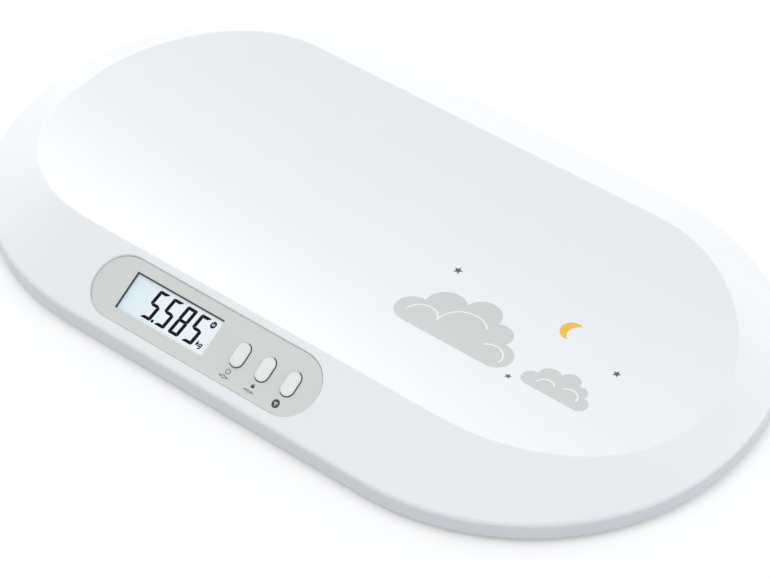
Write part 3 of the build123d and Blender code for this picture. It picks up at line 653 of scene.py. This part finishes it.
def arrows_to(bm, middle, reach):
    """Two level arrows that start a reach away on both sides and point at the middle."""
    for side in (-1, 1):
        tail = (middle[0] + side * reach, middle[1])
        tip = (middle[0] + side * ARROW_ROOM, middle[1])
        bar(bm, tail, tip, THIN_LINE)
        for lift in (-1, 1):
            barb = (tip[0] + side * BARB[0], tip[1] + lift * BARB[1])
            bar(bm, barb, tip, THIN_LINE)


# power: an open ring with a stroke in its gap; below it arrows to a nought
POWER = (2.6 * MM, 17.45 * MM)
POWER_RADIUS = 1.7 * MM
POWER_STROKE = (0.2 * MM, 2.2 * MM)  # from and to, above the ring's middle
NOUGHT = (1.6 * MM, 13.2 * MM)
NOUGHT_SIDE = 0.75 * MM
NOUGHT_STRAIGHT = 0.45 * MM
NOUGHT_ARROWS = 4.1 * MM
bm = bmesh.new()
ribbon(bm, POWER, POWER_RADIUS, 125, 290, MARK_LINE)
bar(bm, (POWER[0], POWER[1] + POWER_STROKE[0]), (POWER[0], POWER[1] + POWER_STROKE[1]), MARK_LINE)
for side in (-1, 1):
    edge_x = NOUGHT[0] + side * NOUGHT_SIDE
    bar(bm, (edge_x, NOUGHT[1] - NOUGHT_STRAIGHT), (edge_x, NOUGHT[1] + NOUGHT_STRAIGHT), THIN_LINE)
    ribbon(bm, (NOUGHT[0], NOUGHT[1] + side * NOUGHT_STRAIGHT), NOUGHT_SIDE, 0, side * 180, THIN_LINE)
arrows_to(bm, NOUGHT, NOUGHT_ARROWS)
panel_mark(bm, "mark_power_and_zero")

# hold: a padlock; below it arrows to two upright bars
LOCK = (22.95 * MM, 16.8 * MM)  # middle of its body
LOCK_SIDE = 1.3 * MM
LOCK_HEIGHT = 1.9 * MM
SHACKLE = 0.8 * MM
BARS = (21.9 * MM, 13.1 * MM)
BARS_APART = 1.2 * MM
BARS_REACH = 1.15 * MM
BARS_ARROWS = 4.4 * MM
bm = bmesh.new()
bar(bm, (LOCK[0] - LOCK_SIDE, LOCK[1]), (LOCK[0] + LOCK_SIDE, LOCK[1]), LOCK_HEIGHT)
ribbon(bm, (LOCK[0], LOCK[1] + LOCK_HEIGHT / 2), SHACKLE, 0, 180, THIN_LINE)
for side in (-1, 1):
    bar_x = BARS[0] + side * BARS_APART / 2
    bar(bm, (bar_x, BARS[1] - BARS_REACH), (bar_x, BARS[1] + BARS_REACH), MARK_LINE)
arrows_to(bm, BARS, BARS_ARROWS)
panel_mark(bm, "mark_hold")

# link: a dark oval that carries signal waves
LINK = (42.95 * MM, 14.85 * MM)
LINK_RADIUS = 2.75 * MM
LINK_STRETCH = 1.08  # height over width
WAVE_RADII = (0.85 * MM, 1.45 * MM, 2.05 * MM)
WAVE_LINE = 0.32 * MM
WAVE_DROP = 1.1 * MM  # of the waves' middle under the oval's
SENDER_RADIUS = 0.35 * MM
SENDER_DROP = 1.2 * MM
bm = bmesh.new()
disc(bm, (0, 0), LINK_RADIUS, 48)
bmesh.ops.scale(bm, verts=bm.verts, vec=(1, LINK_STRETCH, 1))
bmesh.ops.translate(bm, verts=bm.verts, vec=(*LINK, 0))
panel_mark(bm, "mark_link_oval")
bm = bmesh.new()
for radius in WAVE_RADII:
    ribbon(bm, (LINK[0], LINK[1] - WAVE_DROP), radius, 45, 90, WAVE_LINE)
disc(bm, (LINK[0], LINK[1] - SENDER_DROP), SENDER_RADIUS, 16)
print_on_apron(
    bm, "mark_link_waves", finishes["button_white"], PANEL_SINK, lift=2 * MARK_LIFT
)

# ---------------------------------------------------------------------------
# Painted shade: a dark line along the panel's upper edge and ends, and at each button a dark band on its
# wall, a dark band deep in its gap, and a panel-grey cover over that band on its lit left side
# ---------------------------------------------------------------------------

PANEL_LOW, PANEL_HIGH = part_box("control_panel")
PANEL_V = 30.15 * MM  # its middle line, up the slope
PANEL_RADIUS = 21.9 * MM
# painted shade: a thin dark line just inside the pocket's rim, only along its upper edge, the upper
# right end and the left end, where the pocket wall's shade falls
EDGE_SHADE_INSET = 0.12 * MM
EDGE_SHADE_WIDTH = 0.15 * MM  # round both ends
EDGE_SHADE_TOP_WIDTH = 0.05 * MM
EDGE_SHADE_REACH = PANEL_RADIUS - EDGE_SHADE_INSET
left_end = (PANEL_LOW[0] + PANEL_RADIUS, PANEL_V)
right_end = (PANEL_HIGH[0] - PANEL_RADIUS, PANEL_V)
bm = bmesh.new()
ribbon(bm, right_end, EDGE_SHADE_REACH, 5, 85, EDGE_SHADE_WIDTH)
ribbon(bm, left_end, EDGE_SHADE_REACH, 90, 140, EDGE_SHADE_WIDTH)
top_line = PANEL_V + EDGE_SHADE_REACH
bar(bm, (left_end[0], top_line), (right_end[0], top_line), EDGE_SHADE_TOP_WIDTH)
print_on_apron(bm, "panel_edge_painted_shade", finishes["frame_dark"], PANEL_SINK)

BUTTON_V = 30.1 * MM  # the buttons' middle line, up the slope
BUTTON_WIDTH = 9.5 * MM
BUTTON_LENGTH = 17.1 * MM


def slot_ring(button, reach, width, lower_end=(180, 180), upper_end=(0, 180), sides=(-1, 1)):
    """A band round a button, whose middle line is a reach outside the button's wall.

    Its round ends are given as start and sweep in degrees.
    """
    low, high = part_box(button)
    button_x = (low[0] + high[0]) / 2
    middle_line = BUTTON_WIDTH / 2 + reach
    straight = (BUTTON_LENGTH - BUTTON_WIDTH) / 2
    bm = bmesh.new()
    for side in sides:
        edge_x = button_x + side * middle_line
        bar(bm, (edge_x, BUTTON_V - straight), (edge_x, BUTTON_V + straight), width)
    ribbon(bm, (button_x, BUTTON_V - straight), middle_line, *lower_end, width)
    ribbon(bm, (button_x, BUTTON_V + straight), middle_line, *upper_end, width)
    bmesh.ops.remove_doubles(bm, verts=bm.verts, dist=SAME_POINT)
    return bm


# painted shade: a dark grey band round each button's wall, from a little above the panel's face to under
# it, darkens the wall as its shade would
wall_shade_finish = moulded("button_wall_painted_shade", srgb(82, 86, 88), 0.5, 0.6 * MM, 0.01 * MM)
WALL_SHADE_REACH = 0.02 * MM
WALL_SHADE_WIDTH = 0.12 * MM
WALL_SHADE_RISE = 0.45 * MM  # over the panel's face
WALL_SHADE_HEIGHT = 1.3 * MM
# painted shade: a dark band deep in the gap round each button darkens the gap as its shade would; a
# panel-grey band just under the face covers it along the lit left side, so the painted shade shows at
# the right and the lower end
GAP_SHADE_REACH = 0.38 * MM
GAP_SHADE_WIDTH = 0.5 * MM
GAP_SHADE_SINK = 0.95 * MM  # under the panel's face
LIT_SIDE_COVER_SINK = 0.04 * MM
GAP_SHADE_HEIGHT = 0.2 * MM
for button in ("power_button", "hold_button", "link_button"):
    wall_shade_band = slot_ring(button, WALL_SHADE_REACH, WALL_SHADE_WIDTH)
    print_on_apron(
        wall_shade_band, button + "_skirt", wall_shade_finish,
        PANEL_SINK - WALL_SHADE_RISE, WALL_SHADE_HEIGHT, 0.0, button,
    )
    # the dark band of painted shade deep in the gap
    gap_shade_band = slot_ring(button, GAP_SHADE_REACH, GAP_SHADE_WIDTH)
    print_on_apron(
        gap_shade_band, button + "_seal", finishes["frame_dark"],
        PANEL_SINK + GAP_SHADE_SINK, GAP_SHADE_HEIGHT, 0.0,
    )
    # panel-grey cover over the painted gap shade on the lit left side
    lit_side_cover = slot_ring(button, GAP_SHADE_REACH, GAP_SHADE_WIDTH, (180, 45), (85, 95), (-1,))
    print_on_apron(
        lit_side_cover, button + "_lip", finishes["panel_grey"],
        PANEL_SINK + LIT_SIDE_COVER_SINK, GAP_SHADE_HEIGHT, 0.0,
    )

# ---------------------------------------------------------------------------
# Underside: raised lines on the base cover and the battery door, and ribbed foot pads
# ---------------------------------------------------------------------------

COVER_LOW, COVER_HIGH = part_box("base_cover")
DOOR_LOW, DOOR_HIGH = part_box("battery_door")
DOOR_MIDDLE = ((DOOR_LOW[0] + DOOR_HIGH[0]) / 2, (DOOR_LOW[1] + DOOR_HIGH[1]) / 2)
DOOR_LENGTH = DOOR_HIGH[0] - DOOR_LOW[0]
DOOR_WIDTH = 39.2 * MM
ROOT = 0.05 * MM  # how far a raised line reaches into the cover


def raise_below(bm, name, rise, body="scale"):
    """Lays a flat shape on the base cover's underside, standing out downwards by its rise."""
    thicken(bm, rise + ROOT)
    bmesh.ops.translate(bm, verts=bm.verts, vec=(0, 0, COVER_LOW[2] + ROOT))
    finish_piece(bm, name, finishes["base_plastic"], body)


RIM_INSET = 15 * MM
RIM_STRAIGHT = 4 * MM  # short straight run left at both ends
RIM_LINE = 2 * MM
RIM_RISE = 0.7 * MM
cover_middle = ((COVER_LOW[0] + COVER_HIGH[0]) / 2, (COVER_LOW[1] + COVER_HIGH[1]) / 2)
rim_length = COVER_HIGH[0] - COVER_LOW[0] - 2 * RIM_INSET
rim_width = COVER_HIGH[1] - COVER_LOW[1] - 2 * RIM_INSET
bm = bmesh.new()
band(bm, cover_middle, rim_length, rim_width, (rim_width - RIM_STRAIGHT) / 2, RIM_LINE)
raise_below(bm, "base_rim_bead", RIM_RISE)

SURROUND_ROOM = 4.5 * MM  # from the door's edge to the line round it
SURROUND_CORNER = 4 * MM
SURROUND_LINE = 1.2 * MM
SURROUND_RISE = 0.6 * MM
surround_length = DOOR_LENGTH + 2 * SURROUND_ROOM
surround_width = DOOR_WIDTH + 2 * SURROUND_ROOM
bm = bmesh.new()
band(bm, DOOR_MIDDLE, surround_length, surround_width, SURROUND_CORNER, SURROUND_LINE)
raise_below(bm, "door_surround", SURROUND_RISE)

# an empty frame where a rating plate would be
PLATE_MIDDLE = (0, -38 * MM)
PLATE_LENGTH = 86 * MM
PLATE_WIDTH = 44 * MM
PLATE_CORNER = 5 * MM
PLATE_LINE = 1 * MM
PLATE_RISE = 0.4 * MM
bm = bmesh.new()
band(bm, PLATE_MIDDLE, PLATE_LENGTH, PLATE_WIDTH, PLATE_CORNER, PLATE_LINE)
raise_below(bm, "rating_plate_frame", PLATE_RISE)

# on the door: an arrow near its latch and three ridges for a finger near its hinge
ARROW_INSET = 15 * MM
ARROW_LENGTH = 6 * MM
ARROW_SIDE = 5 * MM
RIDGES = 3
RIDGE_INSET = 10 * MM
RIDGE_PITCH = 3.2 * MM
RIDGE_REACH = 11 * MM
RIDGE_LINE = 1.2 * MM
RIDGE_RISE = 0.5 * MM
arrow_x = DOOR_HIGH[0] - ARROW_INSET
middle_y = DOOR_MIDDLE[1]
bm = bmesh.new()
plate(bm, [
    (arrow_x, middle_y + ARROW_SIDE),
    (arrow_x - ARROW_LENGTH, middle_y),
    (arrow_x, middle_y - ARROW_SIDE),
])
for number in range(RIDGES):
    ridge_x = DOOR_LOW[0] + RIDGE_INSET + number * RIDGE_PITCH
    bar(bm, (ridge_x, middle_y - RIDGE_REACH), (ridge_x, middle_y + RIDGE_REACH), RIDGE_LINE)
raise_below(bm, "door_arrow_and_ridges", RIDGE_RISE, "battery_door")

COLLAR_RADIUS = 16.6 * MM
COLLAR_LINE = 1.6 * MM
COLLAR_RISE = 0.8 * MM
PAD_GROOVE = 0.45 * MM
PAD_CHAMFER = 0.4 * MM
# the sole from its middle outwards, as shares of its radius and heights over the floor: three grooves
PAD_SOLE = [
    (0.00, 0.0),
    (0.24, 0.0),
    (0.27, PAD_GROOVE),
    (0.34, PAD_GROOVE),
    (0.37, 0.0),
    (0.52, 0.0),
    (0.55, PAD_GROOVE),
    (0.62, PAD_GROOVE),
    (0.65, 0.0),
    (0.78, 0.0),
    (0.81, PAD_GROOVE),
    (0.87, PAD_GROOVE),
    (0.90, 0.0),
    (0.96, 0.0),
    (1.00, PAD_CHAMFER),
]
for corner in ("front_left", "front_right", "back_left", "back_right"):
    low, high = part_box("foot_pad_" + corner)
    middle = ((low[0] + high[0]) / 2, (low[1] + high[1]) / 2)
    reach = (high[0] - low[0]) / 2

    bm = bmesh.new()
    ribbon(bm, middle, COLLAR_RADIUS, 0, 360, COLLAR_LINE)
    raise_below(bm, "foot_collar_" + corner, COLLAR_RISE)

    bm = bmesh.new()
    made = []
    for share, z in PAD_SOLE + [(1.0, high[2]), (0.0, high[2])]:
        point = (middle[0] + share * reach, middle[1], z)
        made += bmesh.ops.create_vert(bm, co=point)["vert"]
    edges = [bm.edges.new(pair) for pair in zip(made, made[1:])]
    bmesh.ops.spin(
        bm, geom=made + edges, cent=(*middle, 0), axis=(0, 0, 1), angle=2 * pi, steps=48, use_merge=True
    )
    bmesh.ops.remove_doubles(bm, verts=bm.verts, dist=SAME_POINT)
    pad = finish_piece(bm, "ribbed_foot_pad_" + corner, finishes["foot_rubber"], "scale")
    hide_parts("foot_pad_" + corner)

# ---------------------------------------------------------------------------
# Floor, lamps and camera
# ---------------------------------------------------------------------------

FLOOR_PAPER = (0.89, 0.89, 0.90, 1.0)  # as it is seen
FLOOR_BOUNCE = (0.36, 0.38, 0.42, 1.0)  # as it lights the object
FLOOR_GLOW = 0.24
FLOOR_GLOW_TINT = (1, 0.98, 0.96, 1)
FLOOR_SIZE = 4.2


def shows(tree):
    """Is 1 for rays that show the surroundings, straight or by gloss or glass, and 0 for their light."""
    rays = tree.nodes.new("ShaderNodeLightPath")
    shown = rays.outputs["Is Camera Ray"]
    for kind in ("Is Glossy Ray", "Is Transmission Ray"):
        either = tree.nodes.new("ShaderNodeMath")
        either.operation = "MAXIMUM"
        tree.links.new(shown, either.inputs[0])
        tree.links.new(rays.outputs[kind], either.inputs[1])
        shown = either.outputs["Value"]
    return shown


def floor_finish():
    """A white floor: it takes the object's shadow, and glows just enough to show as white where lit."""
    finish = Finish("studio_floor")
    tree = finish.tree
    tree.nodes.remove(finish.shader)
    paper = finish.add("ShaderNodeBsdfDiffuse")
    glow = finish.add("ShaderNodeEmission")
    glow.inputs["Color"].default_value = FLOOR_GLOW_TINT
    shown = shows(tree)
    tint = finish.ramp(shown, (0.0, FLOOR_BOUNCE), (1.0, FLOOR_PAPER))
    finish.link(tint, paper.inputs["Color"])
    finish.link(finish.spread(shown, 0.0, FLOOR_GLOW), glow.inputs["Strength"])
    both = finish.add("ShaderNodeAddShader")
    finish.link(paper.outputs["BSDF"], both.inputs[0])
    finish.link(glow.outputs["Emission"], both.inputs[1])
    finish.link(both.outputs["Shader"], tree.nodes["Material Output"].inputs["Surface"])
    return finish.material


bm = bmesh.new()
bmesh.ops.create_grid(bm, x_segments=1, y_segments=1, size=FLOOR_SIZE / 2)
floor_mesh = bpy.data.meshes.new("floor")
bm.to_mesh(floor_mesh)
bm.free()
floor = bpy.data.objects.new("floor", floor_mesh)
bpy.context.scene.collection.objects.link(floor)
floor_mesh.materials.append(floor_finish())

WARM = (1.06, 1.015, 0.93)
PALE = (1.0, 1.005, 0.985)


def softbox(name, place, aim, width, height, power, colour):
    """A rectangular lamp that faces the point aim."""
    light = bpy.data.lights.new(name, "AREA")
    light.color = colour
    light.shape = "RECTANGLE"
    light.size = width
    light.size_y = height
    light.energy = power
    lamp = bpy.data.objects.new(name, light)
    lamp.location = place
    lamp.rotation_euler = (Vector(aim) - Vector(place)).to_track_quat("-Z", "Y").to_euler()
    bpy.context.scene.collection.objects.link(lamp)


# name, place, what it faces, width, height, watts and colour
softbox("back_strip", (0, 2.6, 0.35), (0, 0, 0.1), 4.0, 0.5, 11.6, WARM)
softbox("left_strip", (-2.6, 0, 0.3), (0, 0, 0.1), 4.0, 0.5, 7.4, WARM)
softbox("low_left", (-1.6, 1.6, 0.7), (0, 0, 0), 1.6, 0.8, 10.0, WARM)
softbox("low_right", (1.4, 1.9, 0.7), (0, 0, 0), 1.6, 0.8, 10.4, PALE)
softbox("left", (-2.1, 0, 1.2), (0, 0, 0), 1.2, 1.6, 7.0, PALE)
softbox("right", (2.1, 0.4, 1.2), (0, 0, 0), 1.2, 1.6, 6.4, PALE)
softbox("top_front", (0.2, -1.3, 2.1), (0, 0, 0), 3.0, 1.4, 16.8, WARM)
softbox("front_low", (0.9, -2.2, 1.0), (0, 0, 0), 1.6, 1.0, 5.2, PALE)

WORLD_LIGHT = 0.497
WORLD_TINT = (0.93, 0.995, 1.07, 1.0)
WHITE = (1, 1, 1, 1)
world = bpy.data.worlds.new("studio")
bpy.context.scene.world = world
world.use_nodes = True
sky = world.node_tree
shown = shows(sky)
strength = sky.nodes.new("ShaderNodeMapRange")
strength.inputs["To Min"].default_value = WORLD_LIGHT
strength.inputs["To Max"].default_value = 1.0
tint = sky.nodes.new("ShaderNodeMix")
tint.data_type = "RGBA"
tint.inputs["A"].default_value = WORLD_TINT
tint.inputs["B"].default_value = WHITE
background = sky.nodes["Background"]
sky.links.new(shown, strength.inputs["Value"])
sky.links.new(strength.outputs["Result"], background.inputs["Strength"])
sky.links.new(shown, tint.inputs["Factor"])
sky.links.new(tint.outputs["Result"], background.inputs["Color"])

AZIMUTH = radians(38.03)
ELEVATION = radians(43.25)
ROLL = radians(0.35)
DISTANCE = 1.7608
AIM = Vector((0.02786, -0.02486, EDGE_Z))
SENSOR = 36.0
FOCAL_IN_PIXELS = 2721.4  # the lens, in widths of one pixel of the picture
IMAGE_WIDTH = 770

turn = Matrix.Rotation(AZIMUTH, 4, "Z")
turn @= Matrix.Rotation(pi / 2 - ELEVATION, 4, "X")
turn @= Matrix.Rotation(ROLL, 4, "Z")
camera_data = bpy.data.cameras.new("camera")
camera_data.sensor_width = SENSOR
camera_data.sensor_fit = "HORIZONTAL"
camera_data.lens = FOCAL_IN_PIXELS / IMAGE_WIDTH * SENSOR
camera = bpy.data.objects.new("camera", camera_data)
camera.matrix_world = Matrix.Translation(AIM) @ turn @ Matrix.Translation((0, 0, DISTANCE))
bpy.context.scene.collection.objects.link(camera)
bpy.context.scene.camera = camera
bpy.context.scene.view_settings.view_transform = "Standard"
